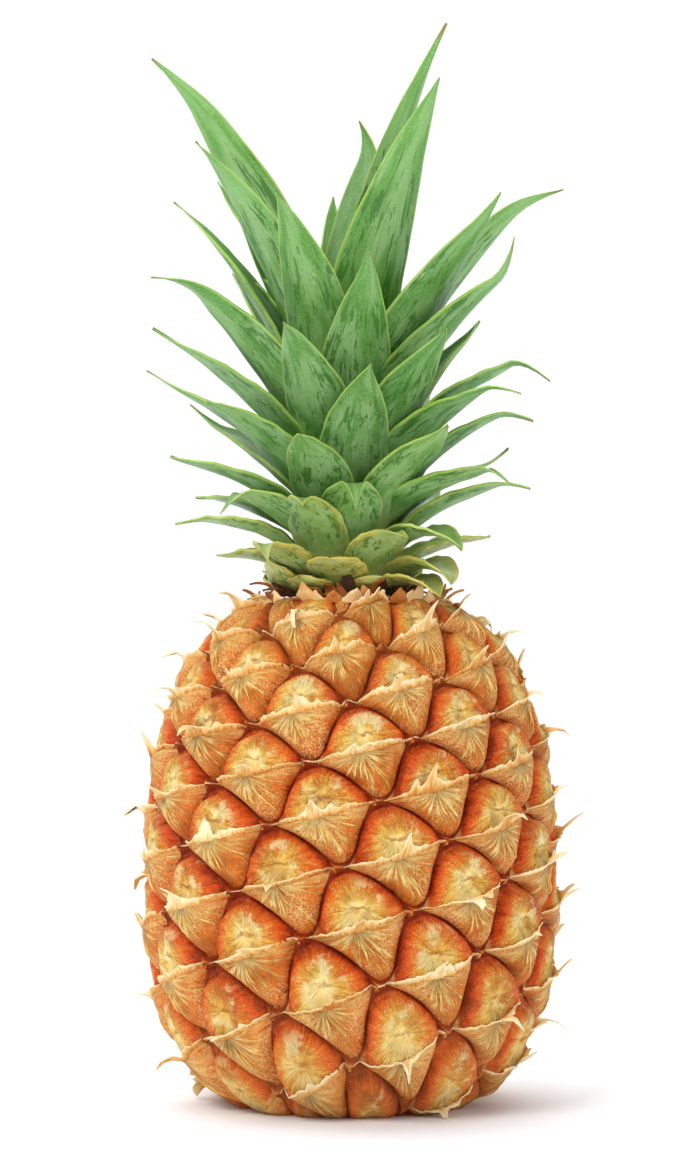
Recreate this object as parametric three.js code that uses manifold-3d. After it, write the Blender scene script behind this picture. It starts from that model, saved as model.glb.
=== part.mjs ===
// A whole pineapple standing on its cut base: the fruit, its leafy crown, the ring of dry scales
// between them, and the stub of the stalk that it was cut from. Millimetres, +Z up. The origin is the
// centre of the stalk's cut face, on the surface that the fruit stands on. The front is towards -Y.
import * as THREE from 'three';
import { mergeVertices } from 'three/addons/utils/BufferGeometryUtils.js';
import Module from 'manifold-3d';

const wasm = await Module();
wasm.setup();

// The fruit's smooth body, before its eyes are raised: a barrel from two superellipses
const BODY_RADIUS = 58.4;
const WIDEST_Z = 64;
const LOWER_REACH = 70.5; // the lower superellipse's half height
const LOWER_POWER = 2.6;
const UPPER_REACH = 86.6;
const UPPER_POWER = 2.5;
const FRUIT_TOP_Z = 146.2; // the flat seat under the crown
const CUT_MARGIN = 0.5; // the rows of eyes run on this far past the flat cuts at the base and the top
const PAST_CUT_CROWDING = 6; // and are crowded there, where the cuts take them off
const HOLLOW_RADIUS = 27; // the base is hollowed towards the stalk, so the fruit stands on its rim
const HOLLOW_HEIGHT = 2.5;

// The eyes: one at each turn of a single spiral, in rows of 5, 8 and 13
const DIVERGENCE_DEG = 137.621; // the turn from one eye to the next, clockwise seen from above
const FIRST_EYE_DEG = 0.7; // azimuth of eye 0, right of the front
const FIRST_EYE_ARC = 64.6; // its place along the profile, from the edge of the base
const EYE_STEP = 1.4346; // rise along the profile from one eye to the next, at the widest part
const EYE_SHRINK = 0.3285; // how fast the eyes get smaller towards the crown
const EYE_SHRINK_Z = 75;
const ROW_TWIST_DEG = 3.1; // how far the rows bend at one twist span from the middle
const TWIST_ARC = 85;
const TWIST_SPAN = 50;
const TANGENT_STEP = 0.6; // arc to each side of a place, over which the body's slope is taken
const ROW_A = 8; // the two rows that an eye's four sides run along
const ROW_B = 13;
const ROW_A_TURNS = 3; // whole turns that the spiral makes in that many eyes
const ROW_B_TURNS = 5;

// One eye's relief, measured out of the smooth body
const GROOVE_DEPTH = 2.6;
const DISC_RISE = 0.8;
const EYE_SQUARENESS = 4; // how closely a disc fills its four-sided cell
const EYE_FULLNESS = 0.5;
const NAVEL_DEPTH = 0.8; // the small dip in the middle of the disc
const NAVEL_A = 0.06;
const NAVEL_B = 0.1;
const NAVEL_SPREAD = 0.02;
const BRACT_RISE = 2.3;
const BRACT_VARIES = 0.6;
const TIP_OUT = 4.4; // the bract's dry tip, standing out of the middle of its upper edge
const TIP_UP = 4.6;
const TIP_SHORTEST = 0.6; // a tip's length as a share of that
const TIP_LONGEST = 1.15;
const TIP_SWAY = 0.045; // how far tips lean to the side, as a turn round the fruit
const TIP_LOWEST_Z = 6; // eyes below this have lost their tips
const RELIEF_FADE_Z = 136; // the eyes flatten out from here to the crown
const RELIEF_AT_TOP = 0.35;
const RELIEF_AT_BASE = 0.4;
const BASE_FADE_Z = 7;
const GRID = [-0.5, -0.42, -0.13, 0, 0.13, 0.42, 0.5]; // places across an eye, as shares of its side

// The crown: leaves on one spiral, round a short stem
const LEAF_COUNT = 65;
const LEAF_DIVERGENCE_DEG = 138.25;
const LEAF_FIRST_DEG = -2;
const CROWN_X = -1.5; // the crown stands a little left of the fruit's axis
const CORE_LOW_Z = 147.6;
const CORE_TOP_Z = 201;
const CORE_LOW_RADIUS = 17.5;
const CORE_TOP_RADIUS = 3;
const PEG_RADIUS = 10.6; // the crown stem's foot, seated in the top of the fruit
const PEG_LOW_Z = 139;
const LEAF_LOW_Z = 148.5;
const LEAF_RISE = 0.72; // height gained on the stem from one leaf to the next
const LEAF_ARCH = 0.14; // how far a leaf bows up from the straight line to its tip, as a share of it
const LEAF_WIDEST = 0.35; // share of its length at which a leaf is widest
const LEAF_NARROW = 9; // half widths of the lowest leaf and of those from near the top
const LEAF_WIDE = 12.6;
const WIDE_FROM = 0.8; // share of the way up the spiral where leaves reach their full width
const LOW_LEAF_BLUNT = 3.2; // how blunt a leaf's outline ends
const LEAF_BLUNT = 1.7;
const LOW_LEAF_CHANNEL = 0.7; // how far a leaf's half width is bent round, in radians
const TOP_LEAF_CHANNEL = 0.9;
const TIP_CHANNEL = 0.6; // share of that at the tip
const LOW_LEAF_FOOT = 0.95; // its width at the root, as a share of that, on the lowest leaf
const LEAF_FOOT = 0.6; // and from the middle of the crown up
const LEAF_MID_THICK = 1.4;
const LEAF_EDGE_THICK = 0.7;
const ROOT_SINK = 2.2;
const TIP_LOW_Z = 158; // where the lowest leaf's tip is
const TIP_RISE = 1.75; // height gained from one tip to the next, and how fast that grows
const TIP_RISE_GROWTH = 0.01;
const TIP_HEIGHT_VARIES = 8;
const TIP_REACH = 46; // from the crown's axis to a tip
const TIP_REACH_VARIES = 0.1;
const HEART_FIRST = 56; // leaves from here on are still growing, and stay short and narrow
const HEART_TIP_Z = 238;
const HEART_REACH = 0.55;
const HEART_WIDTH = 0.7;
const LEAF_STEPS = [0, 0.3, 0.58, 0.82, 1]; // places along a leaf and across it that shape it
const LEAF_ACROSS = [-1, 0, 1];
const ROLLS = { 50: 42, 54: -30 }; // degrees that some leaves are turned about their own length

// Where the tips of some leaves stand, apart from the rule: right of the axis, in front of it, up, and
// how far the leaf bows, where it isn't the usual share
const TIPS = {
  0: [-7, 31, 157.5, 0.04],
  1: [-28, -30, 161],
  2: [29, 27, 150, 0.35],
  3: [-26, 30, 162, 0.08],
  4: [12, -38, 165],
  5: [12, 31, 165.5, 0.08],
  6: [-39, -6, 158, 0.2],
  7: [42, -12, 164],
  8: [-15, 33, 176],
  10: [32, 27, 160, 0.42],
  11: [-47, 3, 169, 0.2],
  13: [1.5, 36, 180],
  15: [48, 6, 180.5],
  16: [-34, 30, 176.5],
  18: [27.5, 38, 193],
  19: [-46, -14, 176.5],
  20: [44, -16, 187],
  21: [-14.5, 38, 192.5],
  23: [43, 28, 183],
  24: [-53, 10, 186.5],
  26: [5, 42, 210],
  27: [-44, -22, 199],
  28: [49, 2, 202],
  29: [-40, 33, 201.5],
  31: [27.5, 40, 221],
  32: [-55, -12, 209.5],
  34: [-18.5, 42, 223.5],
  36: [44, 27, 208],
  37: [-53, 14, 221],
  39: [5.5, 44, 241],
  41: [54, 2, 217.5],
  42: [-51, 32, 239],
  44: [43, 32, 259],
  45: [-52, -12, 264],
  46: [36, -26, 238],
  47: [-20.5, 42, 259],
  48: [-18, -38, 240],
  49: [49, 26, 242],
  50: [-54, 4, 302],
  51: [8, -16, 287],
  52: [25, 34, 292],
  53: [-41, -26, 272],
  54: [57, -6, 268],
  55: [-43, 32, 275],
  56: [4, -34, 246],
  57: [26, 20, 308],
  61: [-6, -24, 267],
};

// The ring of dry scales under the crown
const RING_INNER = 13;
const RING_OUTER = 22.5;
const RING_LOW_Z = 146.5;
const RING_TOP_Z = 147.3;
const SCALE_COUNT = 23;
const SCALE_SHORT = 4;
const SCALE_LONG = 8;
const SCALE_THICK = 1.1;
const SCALE_NARROW = 2.2;
const SCALE_WIDE = 3.6;
const SCALE_LEAST_LEAN_DEG = 38; // above level
const SCALE_MOST_LEAN_DEG = 72;
const SCALE_SEAT = 2.4; // from the ring's outer edge in to a scale's foot
const SCALE_LIFT = 0.5;
const RING_BEVEL = 0.6;
const RING_SIDES = 24;

// The stub of the stalk
const STALK_RADIUS = 12;
const STALK_HEIGHT = 13;
const STALK_SIDES = 20;

const GAP = 0.3; // clearance between pieces that touch
const SEED = 11;
const FRUIT_TOLERANCE = 0.12; // facets this close to flat are merged
const CROWN_TOLERANCE = 0.08;

const degrees = (angle) => THREE.MathUtils.degToRad(angle);
const clamp = (value) => Math.min(1, Math.max(0, value));
const smooth = (value) => clamp(value) ** 2 * (3 - 2 * clamp(value));
const mix = (from, to, share) => from + (to - from) * share;

// A number from 0 to 1 that is always the same for the same item
function chance(item, channel) {
  const wave = Math.sin(item * 127.1 + channel * 311.7 + SEED * 74.7) * 43758.5453;
  return wave - Math.floor(wave);
}

// Turns a closed three.js geometry into a solid, and back
function solid(geometry) {
  const bare = geometry.clone();
  bare.deleteAttribute('normal');
  bare.deleteAttribute('uv');
  const merged = mergeVertices(bare, 1e-4);
  return new wasm.Manifold(new wasm.Mesh({
    numProp: 3,
    vertProperties: merged.attributes.position.array,
    triVerts: new Uint32Array(merged.index.array),
  }));
}

function geometryOf(body) {
  const mesh = body.getMesh();
  return new THREE.BufferGeometry()
    .setAttribute('position', new THREE.BufferAttribute(mesh.vertProperties, 3))
    .setIndex(new THREE.BufferAttribute(mesh.triVerts, 1));
}

function meshGeometry(points, faces) {
  return new THREE.BufferGeometry()
    .setAttribute('position', new THREE.Float32BufferAttribute(points.flatMap((p) => [p.x, p.y, p.z]), 3))
    .setIndex(faces.flat());
}

function cylinder(radius, low, high, sides) {
  return solid(new THREE.CylinderGeometry(radius, radius, high - low, sides)
    .rotateX(Math.PI / 2)
    .translate(0, 0, (low + high) / 2));
}

// The body's profile from the bottom pole to the top one, with its length and its count of eyes so far
function bodyProfile() {
  const rows = [];
  const steps = 420;
  for (let i = 1; i < steps; i += 1) {
    const angle = Math.PI * (i / steps - 0.5);
    const [reach, power] = angle < 0 ? [-LOWER_REACH, LOWER_POWER] : [UPPER_REACH, UPPER_POWER];
    const r = BODY_RADIUS * Math.cos(angle) ** (2 / power);
    const z = WIDEST_Z + reach * Math.abs(Math.sin(angle)) ** (2 / power);
    const before = rows.at(-1) ?? { r, z, arc: 0, count: 0 };
    const step = Math.hypot(r - before.r, z - before.z);
    const kept = z > -CUT_MARGIN && z < FRUIT_TOP_Z + CUT_MARGIN;
    const size = EYE_STEP * (1 - EYE_SHRINK * (z - EYE_SHRINK_Z) / EYE_SHRINK_Z);
    const crowding = kept ? r / BODY_RADIUS : PAST_CUT_CROWDING;
    rows.push({ r, z, arc: before.arc + step, count: before.count + step * crowding / size });
  }
  return rows;
}

// Looks a value up in a rising table, with straight lines between its rows
function lookUp(table, key, at, read) {
  let low = 0;
  let high = table.length - 1;
  while (high - low > 1) {
    const middle = (low + high) >> 1;
    if (table[middle][key] <= at) low = middle;
    else high = middle;
  }
  const share = clamp((at - table[low][key]) / (table[high][key] - table[low][key]));
  return mix(table[low][read], table[high][read], share);
}

const profile = bodyProfile();
const BASE_ARC = lookUp(profile, 'z', 0, 'arc');
const FIRST_COUNT = lookUp(profile, 'arc', BASE_ARC + FIRST_EYE_ARC, 'count');
const LOWEST_COUNT = lookUp(profile, 'z', -CUT_MARGIN, 'count');
const HIGHEST_COUNT = lookUp(profile, 'z', FRUIT_TOP_Z + CUT_MARGIN, 'count');
const HALF_EYE = (ROW_A + ROW_B) / 2;
const FIRST_EYE = Math.floor(LOWEST_COUNT - FIRST_COUNT - HALF_EYE);
const LAST_EYE = Math.ceil(HIGHEST_COUNT - FIRST_COUNT + HALF_EYE);

// A point on the body at an azimuth and a count along the spiral, lifted along the normal
function bodyPoint(azimuth, count, lift, up = 0) {
  const arc = lookUp(profile, 'count', count, 'arc');
  const r = lookUp(profile, 'arc', arc, 'r');
  const z = lookUp(profile, 'arc', arc, 'z');
  const [before, after] = [arc - TANGENT_STEP, arc + TANGENT_STEP];
  const alongR = lookUp(profile, 'arc', after, 'r') - lookUp(profile, 'arc', before, 'r');
  const alongZ = lookUp(profile, 'arc', after, 'z') - lookUp(profile, 'arc', before, 'z');
  const length = Math.hypot(alongR, alongZ);
  const outR = r + (alongZ * lift + alongR * up) / length;
  const outZ = z + (-alongR * lift + alongZ * up) / length;
  const turn = azimuth + degrees(ROW_TWIST_DEG) * ((arc - BASE_ARC - TWIST_ARC) / TWIST_SPAN) ** 2;
  return new THREE.Vector3(outR * Math.sin(turn), -outR * Math.cos(turn), outZ);
}

// The relief of eye n at shares a and b of its two sides: a smooth disc above, a bract below
function eyeRelief(n, a, b) {
  const edge = (1 - (2 * a) ** EYE_SQUARENESS) * (1 - (2 * b) ** EYE_SQUARENESS);
  const pillow = clamp(edge) ** EYE_FULLNESS;
  if (a + b > 0) {
    const fromNavel = (a - NAVEL_A) ** 2 + (b - NAVEL_B) ** 2;
    return mix(-GROOVE_DEPTH, DISC_RISE, pillow) - NAVEL_DEPTH * Math.exp(-fromNavel / NAVEL_SPREAD);
  }
  const toRidge = 1 + (a + b);
  const wide = 1 - (a - b) ** 2;
  const rise = mix(DISC_RISE, BRACT_RISE + chance(n, 1) * BRACT_VARIES, toRidge ** 2 * wide);
  return mix(-GROOVE_DEPTH, rise, pillow);
}

// The fruit: a quad mesh that follows the rows of eyes, closed at the base and the top
function makeFruit() {
  const points = [];
  const faces = [];
  const index = new Map();
  const side = GRID.length - 1;
  const turnA = degrees(360 * ROW_A_TURNS - ROW_A * DIVERGENCE_DEG);
  const turnB = degrees(360 * ROW_B_TURNS - ROW_B * DIVERGENCE_DEG);
  const vertex = (n, i, j) => {
    if (i === side) return vertex(n + ROW_A, 0, j);
    if (j === side) return vertex(n + ROW_B, i, 0);
    const key = `${n} ${i} ${j}`;
    if (!index.has(key)) {
      const [a, b] = [GRID[i], GRID[j]];
      const azimuth = degrees(FIRST_EYE_DEG - DIVERGENCE_DEG * n) + a * turnA + b * turnB;
      const count = FIRST_COUNT + n + ROW_A * a + ROW_B * b;
      const height = lookUp(profile, 'count', count, 'z');
      const fade = mix(1, RELIEF_AT_TOP, smooth((height - RELIEF_FADE_Z) / (FRUIT_TOP_Z - RELIEF_FADE_Z)))
        * mix(RELIEF_AT_BASE, 1, smooth(height / BASE_FADE_Z));
      const isTip = a === 0 && b === 0;
      const hasTip = isTip && height > TIP_LOWEST_Z;
      const long = hasTip ? fade * mix(TIP_SHORTEST, TIP_LONGEST, chance(n, 2)) : 0;
      const lift = fade * eyeRelief(n, a, b) + TIP_OUT * long;
      const sway = (chance(n, 3) - 0.5) * TIP_SWAY * long;
      points.push(bodyPoint(azimuth + sway, count, lift, TIP_UP * long));
      index.set(key, points.length - 1);
    }
    return index.get(key);
  };
  for (let n = FIRST_EYE; n <= LAST_EYE; n += 1) {
    for (let i = 0; i < side; i += 1) {
      for (let j = 0; j < side; j += 1) {
        const [p, q] = [vertex(n, i, j), vertex(n, i + 1, j)];
        const [r, s] = [vertex(n, i + 1, j + 1), vertex(n, i, j + 1)];
        faces.push([p, s, q], [q, s, r]);
      }
    }
  }
  closeEnds(points, faces);
  const body = solid(meshGeometry(points, faces));
  const slab = solid(new THREE.BoxGeometry(4 * BODY_RADIUS, 4 * BODY_RADIUS, FRUIT_TOP_Z)
    .translate(0, 0, FRUIT_TOP_Z / 2));
  const hollow = solid(new THREE.CylinderGeometry(STALK_RADIUS, HOLLOW_RADIUS, HOLLOW_HEIGHT, STALK_SIDES)
    .rotateX(Math.PI / 2)
    .translate(0, 0, HOLLOW_HEIGHT / 2));
  return body.intersect(slab)
    .subtract(hollow)
    .subtract(cylinder(STALK_RADIUS + GAP, -1, STALK_HEIGHT + GAP, STALK_SIDES))
    .subtract(cylinder(PEG_RADIUS + GAP, PEG_LOW_Z - GAP, FRUIT_TOP_Z + 1, STALK_SIDES)
      .translate(CROWN_X, 0, 0))
    .simplify(FRUIT_TOLERANCE);
}

// Fans each open edge of a tube-like mesh to a point on the axis
function closeEnds(points, faces) {
  const open = new Map();
  faces.forEach((face) => face.forEach((from, i) => {
    const to = face[(i + 1) % 3];
    if (open.has(`${to} ${from}`)) open.delete(`${to} ${from}`);
    else open.set(`${from} ${to}`, [from, to]);
  }));
  const low = points.push(new THREE.Vector3(0, 0, profile[0].z)) - 1;
  const high = points.push(new THREE.Vector3(0, 0, profile.at(-1).z)) - 1;
  open.forEach(([from, to]) => {
    faces.push([to, from, points[from].z < WIDEST_Z ? low : high]);
  });
}

// How a leaf grows: its root, its tip and its width, from its place in the spiral, oldest first
function leafShape(k) {
  const age = k / (LEAF_COUNT - 1);
  const azimuth = degrees(LEAF_FIRST_DEG - LEAF_DIVERGENCE_DEG * k);
  const rootZ = LEAF_LOW_Z + LEAF_RISE * k;
  const young = k >= HEART_FIRST;
  const spread = mix(1 - TIP_REACH_VARIES, 1 + TIP_REACH_VARIES, chance(k, 4));
  const reach = TIP_REACH * (young ? HEART_REACH : 1) * spread;
  const height = young ? HEART_TIP_Z : TIP_LOW_Z + TIP_RISE * k + TIP_RISE_GROWTH * k * k;
  const [right, front, up, arch = LEAF_ARCH] = TIPS[k] ?? [
    CROWN_X + reach * Math.sin(azimuth),
    reach * Math.cos(azimuth),
    height + TIP_HEIGHT_VARIES * (chance(k, 5) - 0.5),
  ];
  const out = new THREE.Vector3(Math.sin(azimuth), -Math.cos(azimuth), 0);
  const root = out.clone().multiplyScalar(coreRadius(rootZ) - ROOT_SINK);
  root.x += CROWN_X;
  root.z = rootZ;
  const tip = new THREE.Vector3(right, -front, up);
  const chord = tip.clone().sub(root);
  const rise = new THREE.Vector3(0, 0, 1).projectOnPlane(chord.clone().normalize()).normalize();
  const bend = root.clone().lerp(tip, 0.5).addScaledVector(rise, chord.length() * arch);
  return {
    curve: new THREE.QuadraticBezierCurve3(root, bend, tip),
    out: chord.setZ(0).normalize().add(out).normalize(),
    halfWidth: mix(LEAF_NARROW, LEAF_WIDE, smooth(age / WIDE_FROM)) * (young ? HEART_WIDTH : 1),
    foot: mix(LOW_LEAF_FOOT, LEAF_FOOT, clamp(age * 3)),
    bluntness: mix(LOW_LEAF_BLUNT, LEAF_BLUNT, clamp(age * 2)),
    channel: mix(LOW_LEAF_CHANNEL, TOP_LEAF_CHANNEL, age),
    roll: degrees(ROLLS[k] ?? 0),
  };
}

const coreRadius = (z) => mix(CORE_LOW_RADIUS, CORE_TOP_RADIUS,
  clamp((z - CORE_LOW_Z) / (CORE_TOP_Z - CORE_LOW_Z)) ** 0.9);

// One blade: an arched strip that narrows to a point, from inside the stem outwards
function makeLeaf(k) {
  const leaf = leafShape(k);
  const points = [];
  const faces = [];
  const rim = LEAF_ACROSS.length * 2;
  const sections = LEAF_STEPS.length - 1;
  LEAF_STEPS.slice(0, sections).forEach((t) => {
    const place = leaf.curve.getPoint(t);
    const along = leaf.curve.getTangent(t);
    const across = new THREE.Vector3(-leaf.out.y, leaf.out.x, 0)
      .projectOnPlane(along)
      .normalize()
      .applyAxisAngle(along, leaf.roll * smooth(2 * t));
    const inward = along.clone().cross(across);
    const taper = 1 - clamp((t - LEAF_WIDEST) / (1 - LEAF_WIDEST)) ** leaf.bluntness;
    const width = leaf.halfWidth * taper * mix(leaf.foot, 1, smooth(t / LEAF_WIDEST));
    const bend = leaf.channel * mix(1, TIP_CHANNEL, t);
    const skin = (u, lift) => place.clone()
      .addScaledVector(across, width * Math.sin(bend * u) / bend)
      .addScaledVector(inward, width * (1 - Math.cos(bend * u)) / bend + lift);
    const half = (u) => mix(LEAF_MID_THICK, LEAF_EDGE_THICK, Math.abs(u)) / 2;
    LEAF_ACROSS.forEach((u) => points.push(skin(u, -half(u))));
    [...LEAF_ACROSS].reverse().forEach((u) => points.push(skin(u, half(u))));
  });
  points.push(leaf.curve.getPoint(1));
  for (let s = 0; s < sections; s += 1) {
    for (let i = 0; i < rim; i += 1) {
      const [p, q] = [s * rim + i, s * rim + (i + 1) % rim];
      if (s === sections - 1) faces.push([p, q, points.length - 1]);
      else faces.push([p, q, p + rim], [q, q + rim, p + rim]);
    }
  }
  for (let i = 0; i < LEAF_ACROSS.length - 1; i += 1) {
    const [p, q, r, s] = [i, i + 1, rim - 2 - i, rim - 1 - i];
    faces.push([q, p, s], [q, s, r]);
  }
  return solid(meshGeometry(points, faces));
}

// The crown: every leaf joined to the stem that carries it
function makeCrown() {
  const outline = [new THREE.Vector2(0, PEG_LOW_Z), new THREE.Vector2(PEG_RADIUS, PEG_LOW_Z),
    new THREE.Vector2(PEG_RADIUS, CORE_LOW_Z)];
  for (let i = 0; i <= 6; i += 1) {
    const z = mix(CORE_LOW_Z, CORE_TOP_Z, i / 6);
    outline.push(new THREE.Vector2(coreRadius(z), z));
  }
  outline.push(new THREE.Vector2(0, CORE_TOP_Z + 1));
  const core = solid(new THREE.LatheGeometry(outline, 18).rotateX(Math.PI / 2).translate(CROWN_X, 0, 0));
  const leaves = Array.from({ length: LEAF_COUNT }, (_, k) => makeLeaf(k));
  return outerSkin(outerSkin(wasm.Manifold.union([core, ...leaves])).simplify(CROWN_TOLERANCE));
}

// A body without the sealed pockets between its crowded roots
function outerSkin(body) {
  return body.decompose().reduce((big, next) => (next.volume() > big.volume() ? next : big));
}

// The ring of short dry scales that shows dark between the fruit and the crown
function makeScales() {
  const ring = solid(new THREE.LatheGeometry([
    new THREE.Vector2(RING_INNER, RING_LOW_Z), new THREE.Vector2(RING_OUTER, RING_LOW_Z),
    new THREE.Vector2(RING_OUTER - RING_BEVEL, RING_TOP_Z), new THREE.Vector2(RING_INNER, RING_TOP_Z),
    new THREE.Vector2(RING_INNER, RING_LOW_Z),
  ], RING_SIDES).rotateX(Math.PI / 2));
  const scales = Array.from({ length: SCALE_COUNT }, (_, k) => {
    const reach = mix(SCALE_SHORT, SCALE_LONG, chance(k, 7));
    const lean = degrees(mix(SCALE_LEAST_LEAN_DEG, SCALE_MOST_LEAN_DEG, chance(k, 8)));
    return solid(new THREE.ConeGeometry(1, 1, 4)
      .rotateY(Math.PI / 4)
      .translate(0, 0.5, 0)
      .scale(mix(SCALE_NARROW, SCALE_WIDE, chance(k, 10)), reach, SCALE_THICK)
      .rotateX(Math.PI / 2 + lean)
      .translate(0, SCALE_SEAT - RING_OUTER, RING_LOW_Z + SCALE_LIFT)
      .rotateZ(degrees(360 * (k + 0.5 * chance(k, 9)) / SCALE_COUNT)));
  });
  const above = solid(new THREE.BoxGeometry(4 * RING_OUTER, 4 * RING_OUTER, RING_OUTER)
    .translate(0, 0, RING_LOW_Z + RING_OUTER / 2));
  return wasm.Manifold.union([ring, ...scales]).intersect(above).translate(CROWN_X, 0, 0);
}

// The stub of the stalk, cut flat across
function makeStalk() {
  return cylinder(STALK_RADIUS, 0, STALK_HEIGHT, STALK_SIDES);
}

const skin = new THREE.MeshStandardMaterial({ color: 0xc8772e, roughness: 0.55, metalness: 0 });
const leafGreen = new THREE.MeshStandardMaterial({ color: 0x5d8a4a, roughness: 0.5, metalness: 0 });
const dryBrown = new THREE.MeshStandardMaterial({ color: 0x5a3b26, roughness: 0.9, metalness: 0 });
const cutStalk = new THREE.MeshStandardMaterial({ color: 0xb59a68, roughness: 0.85, metalness: 0 });

function piece(name, body, material) {
  const mesh = new THREE.Mesh(geometryOf(body), material);
  mesh.name = name;
  return mesh;
}

const pineapple = new THREE.Group();
pineapple.add(
  piece('fruit', makeFruit(), skin),
  piece('crown_leaves', makeCrown(), leafGreen),
  piece('neck_scales', makeScales(), dryBrown),
  piece('stalk_stub', makeStalk(), cutStalk),
);

export default pineapple;
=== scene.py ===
import math

import bmesh
import bpy
import numpy as np
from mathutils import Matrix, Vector


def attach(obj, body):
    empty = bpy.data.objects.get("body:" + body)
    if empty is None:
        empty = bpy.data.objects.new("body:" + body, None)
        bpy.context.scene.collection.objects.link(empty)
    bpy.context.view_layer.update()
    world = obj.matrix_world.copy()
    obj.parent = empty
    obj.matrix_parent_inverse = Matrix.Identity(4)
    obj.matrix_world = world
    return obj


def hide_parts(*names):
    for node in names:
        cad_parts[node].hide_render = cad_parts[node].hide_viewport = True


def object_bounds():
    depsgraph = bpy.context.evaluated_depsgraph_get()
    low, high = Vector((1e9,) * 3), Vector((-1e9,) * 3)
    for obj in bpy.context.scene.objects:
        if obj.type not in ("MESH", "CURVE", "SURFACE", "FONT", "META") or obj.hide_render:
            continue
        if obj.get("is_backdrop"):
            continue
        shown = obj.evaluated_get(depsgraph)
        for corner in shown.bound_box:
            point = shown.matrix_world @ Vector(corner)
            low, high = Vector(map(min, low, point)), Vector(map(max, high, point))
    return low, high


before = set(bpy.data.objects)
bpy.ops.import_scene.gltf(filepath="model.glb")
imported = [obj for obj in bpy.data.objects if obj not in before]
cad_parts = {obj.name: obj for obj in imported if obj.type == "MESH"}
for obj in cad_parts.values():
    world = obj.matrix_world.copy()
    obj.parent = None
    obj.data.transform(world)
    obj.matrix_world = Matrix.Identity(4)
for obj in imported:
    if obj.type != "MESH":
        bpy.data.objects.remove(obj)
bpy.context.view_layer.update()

# ---------------------------------------------------------------------------
# The photographer's table: a white sweep with a large soft lamp to the upper left, a weaker one to
# the right and white all round, so that only a soft shadow lies under the fruit. The camera looks
# almost level, from a little under half of the height.
CAMERA_PLACE = (-0.00028, -0.9429, 0.1316)
CAMERA_PITCH_DEG = 91.104
CAMERA_LENS_MM = 99.3
CAMERA_SENSOR_MM = 36
ROOM_LIGHT = 0.5
ROOM_AS_SEEN = 1.05
LAMPS = [("key_lamp", (-0.7, -1.0, 1.15), 0.7, 13),  # name, place, size, watts
         ("fill_lamp", (1.0, -0.9, 0.5), 0.9, 3.5)]
LAMPS_AIM = (0, 0, 0.14)
CEILING_LIGHT = 2.3
CEILING_TILT_DEG = (-28, -12)
CEILING_SPREAD_DEG = 80
FLOOR_SIZE = 14
FLOOR_COLOUR = (245, 250, 255)

bpy.ops.object.select_all(action="DESELECT")
bpy.ops.object.camera_add(location=CAMERA_PLACE, rotation=(math.radians(CAMERA_PITCH_DEG), 0, 0))
camera = bpy.context.object
camera.data.lens = CAMERA_LENS_MM
camera.data.sensor_width = CAMERA_SENSOR_MM
bpy.context.scene.camera = camera
bpy.context.scene.view_settings.view_transform = "Standard"

room = bpy.data.worlds.new("white_room")
bpy.context.scene.world = room
room.use_nodes = True
room_light = room.node_tree.nodes["Background"]
room_light.inputs["Color"].default_value = (1, 1, 1, 1)
room_light.inputs["Strength"].default_value = ROOM_LIGHT
room_wall = room.node_tree.nodes.new("ShaderNodeBackground")
room_wall.inputs["Color"].default_value = (1, 1, 1, 1)
room_wall.inputs["Strength"].default_value = ROOM_AS_SEEN
seen = room.node_tree.nodes.new("ShaderNodeLightPath")
either = room.node_tree.nodes.new("ShaderNodeMixShader")
room.node_tree.links.new(seen.outputs["Is Camera Ray"], either.inputs[0])
room.node_tree.links.new(room_light.outputs[0], either.inputs[1])
room.node_tree.links.new(room_wall.outputs[0], either.inputs[2])
room.node_tree.links.new(either.outputs[0], room.node_tree.nodes["World Output"].inputs["Surface"])

for name, place, size, watts in LAMPS:
    bpy.ops.object.light_add(type="AREA", location=place)
    lamp = bpy.context.object
    lamp.name = name
    lamp.data.size = size
    lamp.data.energy = watts
    aim = Vector(LAMPS_AIM) - lamp.location
    lamp.rotation_euler = aim.to_track_quat("-Z", "Y").to_euler()

bpy.ops.object.light_add(type="SUN", rotation=(*map(math.radians, CEILING_TILT_DEG), 0))
ceiling = bpy.context.object
ceiling.name = "ceiling_light"
ceiling.data.angle = math.radians(CEILING_SPREAD_DEG)
ceiling.data.energy = CEILING_LIGHT

bpy.ops.mesh.primitive_plane_add(size=FLOOR_SIZE, location=(0, 0, 0))
floor = bpy.context.object
floor.name = "floor"
floor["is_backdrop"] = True


def srgb(red, green, blue):
    """A colour as a painter reads it off a chart, 0 to 255, turned to the linear values of a shader."""
    parts = []
    for part in (red, green, blue):
        part /= 255
        parts.append(part / 12.92 if part <= 0.04045 else ((part + 0.055) / 1.055) ** 2.4)
    return (*parts, 1)


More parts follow.
